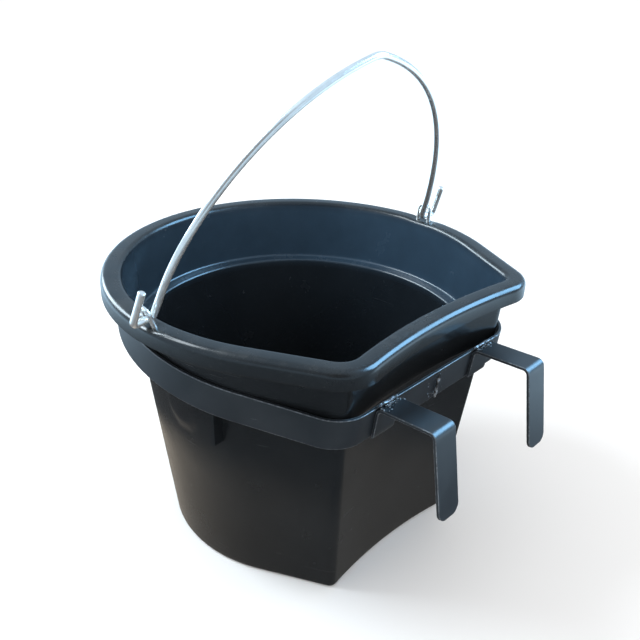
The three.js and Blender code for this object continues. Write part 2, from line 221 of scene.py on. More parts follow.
def arc(centre_x, centre_y, radius, start, end, steps):
    """Points on an arc of a circle in plan, both ends included."""
    return [
        Vector((
            centre_x + radius * math.cos(mix(start, end, i / steps)),
            centre_y + radius * math.sin(mix(start, end, i / steps)),
        ))
        for i in range(steps + 1)
    ]


def outline_points(o):
    """Points of an outline, anticlockwise from above. Every outline has the same count."""
    corner = Vector((o.half_width - o.corner, o.back + o.corner))
    to_corner = Vector((corner.x, corner.y - o.front_centre))
    side_normal = math.atan2(to_corner.y, to_corner.x)
    side_normal += math.acos((o.front - o.corner) / to_corner.length)
    half = arc(0, o.front_centre, o.front, math.pi / 2, side_normal, FRONT_STEPS)

    if o.hollow > 0:
        rise = corner.y - (o.back + o.hollow)
        radius = (corner.x ** 2 + rise ** 2 - o.corner ** 2) / (2 * (o.corner - rise))
        centre_y = o.back + o.hollow - radius
        corner_end = math.atan2(centre_y - corner.y, -corner.x)
        back_start = math.atan2(corner.y - centre_y, corner.x)
        back = arc(0, centre_y, radius, back_start, math.pi / 2, BACK_STEPS)
    else:
        corner_end = -math.pi / 2
        back = [Vector((corner.x * (1 - i / BACK_STEPS), o.back)) for i in range(BACK_STEPS + 1)]

    bend = arc(corner.x, corner.y, o.corner, side_normal, corner_end, CORNER_STEPS)
    half += [half[-1].lerp(bend[0], i / SIDE_STEPS) for i in range(1, SIDE_STEPS)]
    half += bend + back[1:]
    mirrored = [Vector((-p.x, p.y)) for p in reversed(half[1:-1])]
    return list(reversed(half + mirrored))


# ---------------------------------------------------------------- mesh building

def rounded(points, reaches, steps):
    """A polyline with each inner corner replaced by an arc that starts `reach` before it.
    Returns the points, and for each one whether it lies on an arc."""
    line, on_arc = [points[0]], [False]
    for before, corner, after, reach in zip(points, points[1:], points[2:], reaches[1:-1]):
        back, ahead = before - corner, after - corner
        reach = min(reach, 0.49 * back.length, 0.49 * ahead.length)
        if reach <= 0:
            line.append(corner)
            on_arc.append(False)
            continue
        back.normalize()
        ahead.normalize()
        half_angle = back.angle(ahead) / 2
        centre = corner + (back + ahead).normalized() * (reach / math.cos(half_angle))
        radius = reach * math.tan(half_angle)
        start = (corner + back * reach - centre).normalized()
        end = (corner + ahead * reach - centre).normalized()
        for i in range(steps + 1):
            line.append(centre + start.slerp(end, i / steps) * radius)
            on_arc.append(True)
    line.append(points[-1])
    on_arc.append(False)
    return line, on_arc


def row_indices(rows, per_row):
    """Vertex indices of a number of rows that lie one after the other in a list of vertices."""
    return [list(range(i * per_row, (i + 1) * per_row)) for i in range(rows)]


def flipped(faces):
    """The same faces, facing the other way."""
    return [tuple(reversed(face)) for face in faces]


def strip(rows, closed_rows=False):
    """Quads between neighbouring closed rows of vertex indices."""
    row_pairs = list(zip(rows, rows[1:]))
    if closed_rows:
        row_pairs.append((rows[-1], rows[0]))
    faces = []
    for low, high in row_pairs:
        for j in range(len(low)):
            k = (j + 1) % len(low)
            faces.append((low[j], low[k], high[k], high[j]))
    return faces


def fan(row, hub):
    """Triangles from a closed row of vertex indices to one more vertex."""
    return [(row[j], row[(j + 1) % len(row)], hub) for j in range(len(row))]


def cap(vertices, row, levels):
    """Closes a flat row of vertices with shrinking copies of itself round a middle vertex.
    Returns the faces, facing along the row's own turning sense."""
    middle = sum((vertices[i] for i in row), Vector()) / len(row)
    faces, outer = [], row
    for level in range(1, levels):
        share = 1 - level / levels
        inner = list(range(len(vertices), len(vertices) + len(row)))
        vertices.extend(middle.lerp(vertices[i], share) for i in row)
        faces += strip([outer, inner])
        outer = inner
    vertices.append(middle)
    return faces + fan(outer, len(vertices) - 1)


def closed_strip(rows):
    """Quads between neighbouring rows of vertex indices, and one face over each end."""
    return strip(rows) + [tuple(reversed(rows[0])), tuple(rows[-1])]


def make_object(name, vertices, faces, material, body, sharp_degrees=40):
    """A smooth-shaded mesh object that rides on a body of the frame."""
    mesh = bpy.data.meshes.new(name)
    mesh.from_pydata([tuple(v) for v in vertices], [], faces)
    mesh.validate()
    mesh.update()
    mesh.shade_smooth()
    mesh.set_sharp_from_angle(angle=math.radians(sharp_degrees))
    mesh.materials.append(material)
    obj = bpy.data.objects.new(name, mesh)
    bpy.context.scene.collection.objects.link(obj)
    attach(obj, body)
    return obj


def add_attribute(obj, name, values):
    """A number or a vector for each vertex, for the materials to read."""
    is_vector = isinstance(values[0], Vector)
    kind = "FLOAT_VECTOR" if is_vector else "FLOAT"
    attribute = obj.data.attributes.new(name, kind, "POINT")
    if is_vector:
        attribute.data.foreach_set("vector", [c for v in values for c in v])
    else:
        attribute.data.foreach_set("value", values)


def stand_in(obj, node):
    """The piece is shown in place of a plain CAD node."""
    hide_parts(node)
    return obj


# ---------------------------------------------------------------- node materials

class Nodes:
    """Short names for the shader nodes the materials are built from."""

    def __init__(self, name):
        self.material = bpy.data.materials.new(name)
        self.material.use_nodes = True
        self.tree = self.material.node_tree
        self.shader = self.tree.nodes["Principled BSDF"]
        self.place = self.add("ShaderNodeTexCoord").outputs["Object"]

    def add(self, kind, **settings):
        node = self.tree.nodes.new(kind)
        for key, value in settings.items():
            setattr(node, key, value)
        return node

    def feed(self, socket, value):
        """Sets a socket to a plain value, or links it to another node's output."""
        if isinstance(value, bpy.types.NodeSocket):
            self.tree.links.new(value, socket)
        else:
            socket.default_value = value

    def stretched(self, place, scale):
        mapping = self.add("ShaderNodeMapping")
        self.feed(mapping.inputs["Vector"], place)
        mapping.inputs["Scale"].default_value = scale
        return mapping.outputs["Vector"]

    def noise(self, scale, detail=2.0, rough=0.5, place=None, distortion=0.0):
        node = self.add("ShaderNodeTexNoise")
        self.feed(node.inputs["Vector"], place or self.place)
        node.inputs["Scale"].default_value = scale
        node.inputs["Detail"].default_value = detail
        node.inputs["Roughness"].default_value = rough
        node.inputs["Distortion"].default_value = distortion
        return node.outputs["Fac"]

    def ranged(self, value, low, high, to_low, to_high):
        """A value between low and high, moved to between to_low and to_high, and clamped."""
        node = self.add("ShaderNodeMapRange")
        self.feed(node.inputs["Value"], value)
        limits = {"From Min": low, "From Max": high, "To Min": to_low, "To Max": to_high}
        for key, number in limits.items():
            self.feed(node.inputs[key], number)
        return node.outputs["Result"]

    def math(self, operation, a, b=0.0):
        node = self.add("ShaderNodeMath", operation=operation)
        self.feed(node.inputs[0], a)
        self.feed(node.inputs[1], b)
        return node.outputs["Value"]

    def blend(self, share, a, b):
        """A colour between a and b."""
        node = self.add("ShaderNodeMix", data_type="RGBA")
        self.feed(node.inputs["Factor"], share)
        self.feed(node.inputs["A"], a)
        self.feed(node.inputs["B"], b)
        return node.outputs["Result"]

    def attribute(self, name, output="Fac"):
        return self.add("ShaderNodeAttribute", attribute_name=name).outputs[output]

    def bump(self, height, depth, strength=1.0, normal=None):
        node = self.add("ShaderNodeBump")
        node.inputs["Strength"].default_value = strength
        node.inputs["Distance"].default_value = depth
        self.feed(node.inputs["Height"], height)
        if normal:
            self.feed(node.inputs["Normal"], normal)
        return node.outputs["Normal"]

    def facing_up(self):
        """1 where a surface faces upwards, 0 where it is upright or faces down."""
        split = self.add("ShaderNodeSeparateXYZ")
        self.feed(split.inputs["Vector"], self.add("ShaderNodeNewGeometry").outputs["Normal"])
        return self.ranged(split.outputs["Z"], 0.3, 0.95, 0.0, 1.0)

    def finish(self, **inputs):
        for key, value in inputs.items():
            self.feed(self.shader.inputs[key.replace("_", " ")], value)
        return self.material


def scratches(n, place, scale, threshold):
    """Sparse fine lines: 1 in a scratch, 0 elsewhere."""
    lines = n.noise(scale=1.0, detail=3.0, rough=0.6, place=n.stretched(place, scale), distortion=0.4)
    return n.ranged(lines, threshold, threshold + 0.03, 0.0, 1.0)


def moulded_plastic():
    """Glossy black polypropylene: slightly wavy, finely textured, with dust, smears and scuffs, and a
    painted bluish sky sheen on the upper inside walls.
    """
    n = Nodes("moulded_plastic")
    clouds = n.noise(9.0, detail=3.0)
    smears = n.noise(38.0, detail=4.0, rough=0.6)
    specks = n.ranged(n.noise(1500.0, detail=1.0), 0.74, 0.80, 0.0, 1.0)
    scuffs = n.math("MAXIMUM",
                    scratches(n, n.place, (9.0, 9.0, 420.0), 0.72),
                    scratches(n, n.place, (300.0, 26.0, 14.0), 0.76))
    dust = n.math("MULTIPLY", n.facing_up(), n.ranged(smears, 0.42, 0.75, 0.0, 0.5))

    cloudy = n.ranged(clouds, 0.35, 0.65, 0.0, 1.0)
    colour = n.blend(cloudy, (0.0075, 0.009, 0.0105, 1), (0.011, 0.013, 0.015, 1))
    colour = n.blend(dust, colour, (0.035, 0.035, 0.034, 1))
    # painted sky sheen: bluish light painted into the inside walls' colour, fading to painted shade
    # deeper down
    sky_sheen = n.math("MULTIPLY", n.attribute("inner_sky_sheen"), n.ranged(smears, 0.2, 0.8, 0.75, 1.0))
    colour = n.blend(sky_sheen, colour, (0.032, 0.064, 0.104, 1))
    colour = n.blend(n.math("MULTIPLY", specks, 0.5), colour, (0.20, 0.20, 0.19, 1))
    colour = n.blend(n.math("MULTIPLY", scuffs, 0.25), colour, (0.12, 0.12, 0.12, 1))

    rough = n.ranged(smears, 0.3, 0.7, 0.19, 0.28)
    rough = n.math("ADD", rough, n.math("MULTIPLY", dust, 0.16))
    rough = n.math("ADD", rough, n.math("MULTIPLY", scuffs, 0.2))

    waves = n.bump(n.noise(16.0, detail=1.0), 0.0022, strength=0.35)
    grain = n.bump(n.noise(900.0, detail=2.0), 0.00002, strength=0.25, normal=waves)
    marks = n.bump(n.math("MULTIPLY", scuffs, -1.0), 0.00005, strength=0.6, normal=grain)
    return n.finish(Base_Color=colour, Roughness=rough, IOR=1.49, Normal=marks)


def zinc_wire():
    """Bright zinc-plated drawn wire: fine lines along it, cloudy plating, small dark pits."""
    n = Nodes("zinc_wire")
    along = n.attribute("wire_place", "Vector")
    lines = n.noise(1.0, detail=4.0, rough=0.7, place=n.stretched(along, (14.0, 1900.0, 1900.0)))
    clouds = n.noise(70.0, detail=4.0, rough=0.6)
    pits = n.ranged(n.noise(900.0, detail=2.0), 0.68, 0.74, 0.0, 1.0)

    cloudy = n.ranged(clouds, 0.3, 0.7, 0.0, 1.0)
    colour = n.blend(cloudy, (0.84, 0.84, 0.82, 1), (0.98, 0.97, 0.94, 1))
    colour = n.blend(n.ranged(lines, 0.5, 0.75, 0.0, 0.35), colour, (0.56, 0.57, 0.57, 1))
    colour = n.blend(n.math("MULTIPLY", pits, 0.6), colour, (0.16, 0.17, 0.18, 1))
    rough = n.ranged(clouds, 0.3, 0.7, 0.15, 0.27)
    rough = n.math("ADD", rough, n.math("MULTIPLY", pits, 0.3))

    drawn = n.bump(lines, 0.00010, strength=0.6)
    pitted = n.bump(n.math("MULTIPLY", pits, -1.0), 0.00008, strength=0.6, normal=drawn)
    return n.finish(Base_Color=colour, Metallic=0.82, Roughness=rough, Normal=pitted)


def painted_bar():
    """Satin black paint on flat bar: orange peel, scuffs, and edges worn to bright steel."""
    n = Nodes("painted_bar")
    clouds = n.noise(24.0, detail=4.0, rough=0.55)
    chips = n.noise(420.0, detail=3.0, rough=0.65)
    scuffs = scratches(n, n.place, (40.0, 40.0, 700.0), 0.74)
    edge = n.ranged(n.attribute("bar_edge"), 0.55, 0.95, 0.0, 1.0)
    patchy = n.math("ADD", chips, n.math("MULTIPLY", clouds, 0.5))
    worn = n.math("MULTIPLY", edge, n.ranged(patchy, 0.70, 0.88, 0.12, 0.6))
    bare = n.math("MAXIMUM", worn, n.math("MULTIPLY", scuffs, 0.25))

    cloudy = n.ranged(clouds, 0.3, 0.7, 0.0, 1.0)
    colour = n.blend(cloudy, (0.012, 0.016, 0.021, 1), (0.019, 0.024, 0.030, 1))
    colour = n.blend(bare, colour, (0.34, 0.37, 0.40, 1))
    rough = n.ranged(clouds, 0.3, 0.7, 0.30, 0.42)
    peel = n.bump(n.noise(520.0, detail=2.0), 0.00003, strength=0.4)
    dents = n.bump(n.noise(45.0, detail=1.0), 0.0004, strength=0.3, normal=peel)
    chipped = n.bump(n.math("MULTIPLY", bare, -1.0), 0.00006, strength=0.6, normal=dents)
    metallic = n.math("MULTIPLY", bare, 0.9)
    return n.finish(Base_Color=colour, Metallic=metallic, Roughness=rough, IOR=1.62, Normal=chipped)


def weld_metal():
    """Rough bright weld bead with burnt paint and oxide in its hollows."""
    n = Nodes("weld_metal")
    lumps = n.noise(700.0, detail=5.0, rough=0.7)
    patches = n.noise(230.0, detail=3.0, rough=0.6)
    bright = n.ranged(patches, 0.45, 0.60, 0.0, 1.0)
    colour = n.blend(bright, (0.018, 0.021, 0.025, 1), (0.62, 0.64, 0.66, 1))
    colour = n.blend(n.ranged(lumps, 0.55, 0.8, 0.0, 0.6), colour, (0.16, 0.13, 0.11, 1))
    rough = n.ranged(lumps, 0.3, 0.7, 0.35, 0.7)
    bumps = n.bump(lumps, 0.0005, strength=0.8)
    metallic = n.math("MULTIPLY", bright, 0.95)
    return n.finish(Base_Color=colour, Metallic=metallic, Roughness=rough, Normal=bumps)


# ---------------------------------------------------------------- bucket

def shell_rings():
    """The corners of the shell's profile, inside floor to underside, as (outline, depth, rounding)."""
    def rim(distance, depth, reach):
        return RIM.inset(distance), depth, reach

    def wall(distance, depth, reach):
        return lower_wall(depth).inset(distance), depth, reach

    return [
        wall(WALL + BASE_LAND, BUCKET_HEIGHT - FLOOR, 0),
        wall(WALL, BUCKET_HEIGHT - FLOOR, FLOOR_ROUND),
        wall(WALL, LEDGE_DEPTH - WALL, LEDGE_ROUND),
        rim(COLLAR_INSET_BOTTOM + WALL, LEDGE_DEPTH - WALL - LEDGE_FALL, LEDGE_ROUND),
        rim(COLLAR_INSET_TOP + COLLAR_LIP, 0, RIM_ROLL),
        rim(0, 0, RIM_ROUND),
        rim(0, SKIRT_DEPTH, SKIRT_EDGE),
        rim(WALL, SKIRT_DEPTH, SKIRT_EDGE),
        rim(WALL, WALL, SKIRT_ROOT),
        rim(COLLAR_INSET_TOP, WALL, COLLAR_ROOT),
        rim(COLLAR_INSET_BOTTOM, LEDGE_DEPTH, SHOULDER_ROUND),
        wall(0, LEDGE_DEPTH + SHOULDER_FALL, SHOULDER_FALL),
        wall(0, BUCKET_HEIGHT, BASE_ROUND),
        wall(BASE_LAND, BUCKET_HEIGHT, 0),
    ]


def divided(line, longest):
    """The same polyline with its long stretches divided."""
    out = [line[0]]
    for a, b in zip(line, line[1:]):
        parts = max(1, math.ceil((b - a).length / longest))
        out += [a.lerp(b, i / parts) for i in range(1, parts + 1)]
    return out


def shell_rows():
    """Rows of points round the shell, each profile corner rounded."""
    corners = shell_rings()
    loops = [
        [Vector((p.x, p.y, BUCKET_HEIGHT - depth)) for p in outline_points(outline)]
        for outline, depth, _ in corners
    ]
    reaches = [reach for _, _, reach in corners]
    columns = [rounded(list(column), reaches, steps=6)[0] for column in zip(*loops)]
    parts = [
        max(1, math.ceil((b - a).length / SHELL_STEP))
        for a, b in zip(columns[0], columns[0][1:])
    ]
    filled = []
    for column in columns:
        line = [column[0]]
        for a, b, count in zip(column, column[1:], parts):
            line += [a.lerp(b, i / count) for i in range(1, count + 1)]
        filled.append(line)
    return list(zip(*filled))


def eyelet_dimple(point):
    """How far the rim's top is drawn down round an eyelet."""
    side = 1 if point.x > 0 else -1
    away = Vector((abs(point.x) - EYELET_X[side], point.y - BAIL_Y))
    away.y = max(0.0, abs(away.y) - EYELET_LEG_GAP / 2)
    near_top = fade(point.z, BUCKET_HEIGHT - 6 * MM, BUCKET_HEIGHT - 1 * MM)
    return EYELET_DIMPLE * near_top * math.exp(-(away.length / EYELET_DIMPLE_REACH) ** 2)


def eyelet_pad(point):
    """How far the lower wall stands proud in the round-footed pad below an eyelet."""
    depth = BUCKET_HEIGHT - point.z
    foot = PAD_DEPTH - PAD_HALF_WIDTH
    below_foot = max(0.0, depth - foot)
    from_middle = math.hypot(point.y - BAIL_Y, below_foot)
    return PAD_PROUD * fade(PAD_HALF_WIDTH - from_middle, 0.0, PAD_EDGE)


def inner_sky_sheen(point):
    """Painted sky sheen: bluish light painted into the colour of the upper inside walls. It fades out
    down past the ledge, leaving the deep inside as painted shade.
    """
    ledge = BUCKET_HEIGHT - LEDGE_DEPTH
    below_rim = fade(point.z, BUCKET_HEIGHT - 1 * MM, BUCKET_HEIGHT - 7 * MM)
    above_ledge = fade(point.z, ledge - 2 * MM, ledge + 7 * MM)
    return below_rim * mix(SHEEN_BELOW_LEDGE, 1.0, above_ledge) * fade(point.z, SHEEN_END, ledge)


def shell_vertices(rows):
    """The rows' points in one list, with the dimples in the rim and the pads on the lower wall."""
    vertices = []
    for row in rows:
        for p in row:
            point = Vector(p)
            point.z -= eyelet_dimple(point)
            vertices.append(point)

    wall_top = BUCKET_HEIGHT - LEDGE_DEPTH - 2 * MM
    last_above = max(i for i, row in enumerate(rows) if row[0].z > wall_top)
    for point in vertices[last_above * len(rows[0]):]:
        if BASE_ROUND < point.z < wall_top:
            outwards = Vector((point.x, point.y, 0)).normalized()
            point += outwards * eyelet_pad(point)
    return vertices


def bucket_shell(material):
    """The whole moulding but its ribs: floor, walls, ledge, collar, rim and hanging skirt."""
    rows = shell_rows()
    vertices = shell_vertices(rows)
    index = row_indices(len(rows), len(rows[0]))
    faces = flipped(strip(index))
    faces += cap(vertices, index[0], levels=12)
    faces += flipped(cap(vertices, index[-1], levels=12))
    shell = make_object("bucket_moulding", vertices, faces, material, "bucket")

    rim_row = next(i for i, row in enumerate(rows) if row[0].z >= BUCKET_HEIGHT - 0.01 * MM)
    inside = rim_row * len(rows[0])
    # the painted sky sheen is stored on the inside vertices only
    sky_sheen = [inner_sky_sheen(point) for point in vertices[:inside]]
    add_attribute(shell, "inner_sky_sheen", sky_sheen + [0.0] * (len(vertices) - inside))
    return stand_in(shell, "bucket_shell")


def side_rib(side, material):
    """A rib that hangs from the collar's step and dies into the lower wall."""
    outer = RIM.front - COLLAR_INSET_BOTTOM - 0.4 * MM
    buried = lower_wall(RIB_DEPTH).front - WALL / 2
    profile = [
        (outer, -LEDGE_DEPTH + 4 * MM),
        (outer - RIB_TAPER, -RIB_DEPTH),
        (buried, -RIB_DEPTH - 3 * MM),
        (lower_wall(LEDGE_DEPTH).front - WALL / 2, -LEDGE_DEPTH + 1.5 * MM),
    ]
    turn = Matrix.Rotation(-RIB_TURN, 4, "Z")
    half = RIB_THICKNESS / 2
    bevel = 0.5 * MM
    middle = sum((Vector((x, 0, z)) for x, z in profile), Vector()) / len(profile)
    vertices = []
    for y, shrink in ((-half, bevel), (-half + bevel, 0), (half - bevel, 0), (half, bevel)):
        for x, z in profile:
            corner = Vector((x, 0, z))
            corner += (middle - corner).normalized() * shrink
            point = turn @ Vector((corner.x, y, corner.z + BUCKET_HEIGHT))
            vertices.append(Vector((side * point.x, point.y, point.z)))
    index = row_indices(4, len(profile))
    faces = closed_strip(index)
    if side < 0:
        faces = flipped(faces)
    name = "side_rib_right" if side > 0 else "side_rib_left"
    return make_object(name, vertices, faces, material, "bucket", sharp_degrees=25)


# ---------------------------------------------------------------- wire parts

def wire_sections(line, diameter):
    """A wire's sections with chamfered ends, each as (point, tangent, radius, length up to it)."""
    stretches = [(b - a).normalized() for a, b in zip(line, line[1:])]
    bisectors = [(a + b).normalized() for a, b in zip(stretches, stretches[1:])]
    tangents = [stretches[0], *bisectors, stretches[-1]]
    chamfer = WIRE_CHAMFER * diameter
    sections = [(line[0], tangents[0], 0.5 * diameter - chamfer, 0.0)]
    length = 0.0
    for i, point in enumerate(line):
        if i:
            length += (point - line[i - 1]).length
        sections.append((point, tangents[i], 0.5 * diameter, length))
    sections.append((line[-1], tangents[-1], 0.5 * diameter - chamfer, length))
    sections[1] = (line[0] + tangents[0] * chamfer, *sections[1][1:])
    sections[-2] = (line[-1] - tangents[-1] * chamfer, *sections[-2][1:])
    return sections


def wire_piece(name, line, diameter, material, body, sides):
    """A round wire swept along a line of points, with chamfered cut ends."""
    sections = wire_sections(line, diameter)
    across = sections[0][1].orthogonal().normalized()
    vertices, places = [], []
    for point, tangent, radius, length in sections:
        across = (across - tangent * across.dot(tangent)).normalized()
        over = tangent.cross(across)
        for k in range(sides):
            turn = 2 * math.pi * k / sides
            round_way = Vector((math.cos(turn), math.sin(turn)))
            wobble = 1 + WIRE_WOBBLE * noise.noise(Vector((length * 60, k * 0.7, 3.1)))
            spoke = across * round_way.x + over * round_way.y
            vertices.append(point + spoke * radius * min(1.0, wobble))
            places.append(Vector((length, *(WIRE_PATTERN * round_way))))
    index = row_indices(len(sections), sides)
    faces = strip(index)
    faces += flipped(cap(vertices, index[0], levels=2))
    faces += cap(vertices, index[-1], levels=2)
    places += [places[0]] * (len(vertices) - len(places))
    wire = make_object(name, vertices, faces, material, body, sharp_degrees=50)
    add_attribute(wire, "wire_place", places)
    return wire


def eyelet(side, material):
    """A wire staple through the rim, its loop standing across the pivot line."""
    seat = Matrix.Translation((side * EYELET_X[side], BAIL_Y, BUCKET_HEIGHT))
    seat = seat @ Matrix.Rotation(side * EYELET_LEAN[side], 4, "Y")

    def at(inboard, end, z):
        return seat @ Vector((-side * inboard, end * EYELET_LEG_GAP / 2, z))

    corners = [
        at(EYELET_FOOT, -1, -EYELET_FOOT_DEPTH),
        at(0, -1, -EYELET_FOOT_DEPTH),
        at(0, -1, EYELET_RISE),
        at(0, 1, EYELET_RISE),
        at(0, 1, -EYELET_FOOT_DEPTH),
        at(EYELET_FOOT, 1, -EYELET_FOOT_DEPTH),
    ]
    reaches = [0, EYELET_FOOT_BEND, EYELET_LOOP_BEND, EYELET_LOOP_BEND, EYELET_FOOT_BEND, 0]
    line, _ = rounded(corners, reaches, steps=12)
    node = "eyelet_right" if side > 0 else "eyelet_left"
    line = divided(line, 1.2 * MM)
    wire = wire_piece(node + "_wire", line, EYELET_WIRE, material, "bucket", sides=24)
    return stand_in(wire, node)


def bezier(p0, p1, p2, p3, steps):
    """Points on a cubic curve from p0 to p3, both included."""
    points = []
    for i in range(steps + 1):
        t = i / steps
        s = 1 - t
        points.append(p0 * s ** 3 + p1 * (3 * s * s * t) + p2 * (3 * s * t * t) + p3 * t ** 3)
    return points


def bail_half(side):
    """From the turned-up end of one side to where the crown's rounding starts."""
    own = BAIL_SIDES[side]
    sweep_x = own.elbow - (BAIL_SWEEP_RISE - BAIL_ELBOW_RISE) * math.tan(own.lean)
    crown_z = BAIL_PEAK - BAIL_CROWN * math.tan(BAIL_CROWN_SLOPE)

    def at(x, z):
        return Vector((side * x, 0, z))

    corners = [
        at(own.end - own.stub * math.sin(own.stub_lean), own.stub * math.cos(own.stub_lean) - BAIL_DIP),
        at(own.end, -BAIL_DIP),
        at(BAIL_LEVEL, 0),
        at(own.leg, 0),
        at(own.elbow, BAIL_ELBOW_RISE),
        at(sweep_x, BAIL_SWEEP_RISE),
    ]
    end, _ = rounded(corners, [0, BAIL_BEND, BAIL_BEND / 3, BAIL_BEND, BAIL_ELBOW_BEND, 0], steps=12)
    sweep = bezier(
        at(sweep_x, BAIL_SWEEP_RISE),
        at(sweep_x - own.side_reach * math.sin(own.lean),
           BAIL_SWEEP_RISE + own.side_reach * math.cos(own.lean)),
        at(BAIL_CROWN + own.crown_reach * math.cos(BAIL_CROWN_SLOPE),
           crown_z - own.crown_reach * math.sin(BAIL_CROWN_SLOPE)),
        at(BAIL_CROWN, crown_z),
        steps=90,
    )
    return end + sweep[1:]


def bail(material):
    """The bail's two halves joined by the rounded crown, standing at its lean."""
    left, right = bail_half(-1), bail_half(1)
    peak = Vector((0, 0, BAIL_PEAK))
    crown = [
        left[-1].lerp(peak, t).lerp(peak.lerp(right[-1], t), t)
        for t in (i / 16 for i in range(1, 16))
    ]
    stand = Matrix.Translation((BAIL_X, BAIL_Y, BUCKET_HEIGHT + BAIL_PIVOT_RISE))
    stand = stand @ Matrix.Rotation(BAIL_LEAN, 4, "X")
    line = [stand @ p for p in left + crown + right[::-1]]
    wire = wire_piece("bail_wire", divided(line, 1.5 * MM), BAIL_WIRE, material, "bail", sides=32)
    return stand_in(wire, "bail_handle")


# ---------------------------------------------------------------- carrier

CARRIER = Matrix.Translation((0, 0, BUCKET_HEIGHT - BAND_DEPTH))
CARRIER = CARRIER @ Matrix.Rotation(BAND_TILT, 4, "X")


def bar_section(ring):
    """The four corners of a bar's section, rounded, with wear from 1 on the rounded corners
    to 0 a little way in from them."""
    start = (ring[-1] + ring[0]) / 2
    arc_steps = 3
    line, on_arc = rounded([start, *ring, start], [0] + [BAR_EDGE] * 4 + [0], steps=arc_steps)
    points, wear = [], []
    for i, (a, b) in enumerate(zip(line, line[1:])):
        points.append(a)
        wear.append(1.0 if on_arc[i] else 0.0)
        if i % (arc_steps + 1) == 0:
            step = (b - a) * min(0.3, 0.8 * BAR_EDGE / (b - a).length)
            points += [a + step, b - step]
            wear += [0.0, 0.0]
    return points, wear


def band(material):
    """A closed flat-bar ring with rolled edges, very slightly uneven as bent by hand."""
    corners = [(0, 0), (0, -BAND_HEIGHT), (BAR, -BAND_HEIGHT), (BAR, 0)]
    loops = [
        [Vector((p.x, p.y, z)) for p in outline_points(BAND.inset(distance))]
        for distance, z in corners
    ]
    columns = [bar_section(list(column)) for column in zip(*loops)]
    vertices, edge = [], []
    for points, wear in columns:
        middle = sum(points, Vector()) / len(points)
        sway = BAND_SWAY * noise.noise(middle * BAND_SWAY_RATE)
        outwards = Vector((middle.x, middle.y, 0)).normalized()
        vertices += [CARRIER @ (point + outwards * sway) for point in points]
        edge += wear
    index = row_indices(len(columns), len(columns[0][0]))
    faces = strip(index, closed_rows=True)
    ring = make_object(
        "carrier_ring", vertices, faces, material, "carrier", sharp_degrees=35,
    )
    add_attribute(ring, "bar_edge", edge)
    return stand_in(ring, "carrier_band")


def hook_line():
    """Centre line of a hook in side view, as (reach from the band, height)."""
    leg_angle = -math.pi / 2 - HOOK_LEG_SPLAY
    outer = Vector((HOOK_REACH, HOOK_REACH * math.tan(HOOK_TOP_RISE), 0))
    foot = outer + HOOK_DROP * Vector((-math.cos(leg_angle), math.sin(leg_angle), 0))
    corners = [Vector((0, -BAND_HEIGHT, 0)), Vector((0, 0, 0)), outer, foot]
    reach = HOOK_BEND * 1.1
    line, _ = rounded(corners, [0, reach, reach, 0], steps=10)
    return divided(line, 3 * MM)


def hook_section(half_width, half_thick):
    """A rounded rectangle, as (across the bar, through the bar), and its wear."""
    return bar_section([
        Vector((half_width, -half_thick, 0)), Vector((half_width, half_thick, 0)),
        Vector((-half_width, half_thick, 0)), Vector((-half_width, -half_thick, 0)),
    ])


def hook_stations():
    """Points on a hook's centre line, each with the length up to it, closer in the rounded end."""
    line = hook_line()
    lengths = [0.0]
    for a, b in zip(line, line[1:]):
        lengths.append(lengths[-1] + (b - a).length)
    total = lengths[-1]
    tail = [total - HOOK_END_ROUND * (1 - math.sin(math.pi / 2 * i / 10)) for i in range(11)]
    keep = [(p, s) for p, s in zip(line, lengths) if s < tail[0] - 0.5 * MM]
    end_direction = (line[-1] - line[-2]).normalized()
    return keep + [(line[-1] - end_direction * (total - s), s) for s in tail]


def hook(side, material):
    """A flat-bar hook: a leg on the band, a plate over the rail, and a longer outer leg."""
    stations = hook_stations()
    last = len(stations) - 1
    round_from = stations[last][1] - HOOK_END_ROUND
    place = CARRIER @ Matrix.Translation((side * HOOK_X, BAND.back - GAP - BAR / 2, 0))
    vertices, edge = [], []
    for i, (point, at) in enumerate(stations):
        tangent = (stations[min(last, i + 1)][0] - stations[max(0, i - 1)][0]).normalized()
        normal = Vector((-tangent.y, tangent.x, 0))
        into_end = max(0.0, at - round_from)
        draw_in = HOOK_END_ROUND - math.sqrt(max(0.0, HOOK_END_ROUND ** 2 - into_end ** 2))
        is_end = i in (0, last)
        half_thick = BAR / 2 - (BAR_EDGE if is_end else 0.0)
        section, wear = hook_section(HOOK_WIDTH / 2 - draw_in, half_thick)
        for corner, worn in zip(section, wear):
            flat = point + normal * corner.y
            vertices.append(place @ Vector((corner.x, -flat.x, flat.y)))
            edge.append(1.0 if is_end else worn)
    index = row_indices(len(stations), len(vertices) // len(stations))
    faces = closed_strip(index)
    node = "hook_right" if side > 0 else "hook_left"
    bar = make_object(
        node + "_bar", vertices, faces, material, "carrier", sharp_degrees=35,
    )
    add_attribute(bar, "bar_edge", edge)
    return stand_in(bar, node)


def bead_mesh(length, width, seed):
    """A lumpy run of weld metal along x, centred on the origin, as vertices and faces."""
    rings, sides = 56, 20
    shift = Vector((seed * 7.3, seed * 3.1, seed * 1.7))
    vertices = []
    for i in range(1, rings):
        along = i / rings - 0.5
        ends = math.sqrt(1 - (2 * abs(along)) ** 6)
        ripple = 0.88 + 0.12 * abs(math.sin(along * math.pi * 8))
        for k in range(sides):
            turn = 2 * math.pi * k / sides
            direction = Vector((0, math.cos(turn), math.sin(turn)))
            lump = 0.84 + 0.3 * noise.noise(shift + Vector((along * 9, 0, 0)) + direction * 1.3)
            radius = width / 2 * ends * ripple * min(1.0, lump)
            vertices.append(Vector((along * length, 0, 0)) + direction * radius)
    index = row_indices(rings - 1, sides)
    vertices += [Vector((-length / 2, 0, 0)), Vector((length / 2, 0, 0))]
    start, end = len(vertices) - 2, len(vertices) - 1
    return vertices, strip(index) + fan(index[0][::-1], start) + fan(index[-1], end)


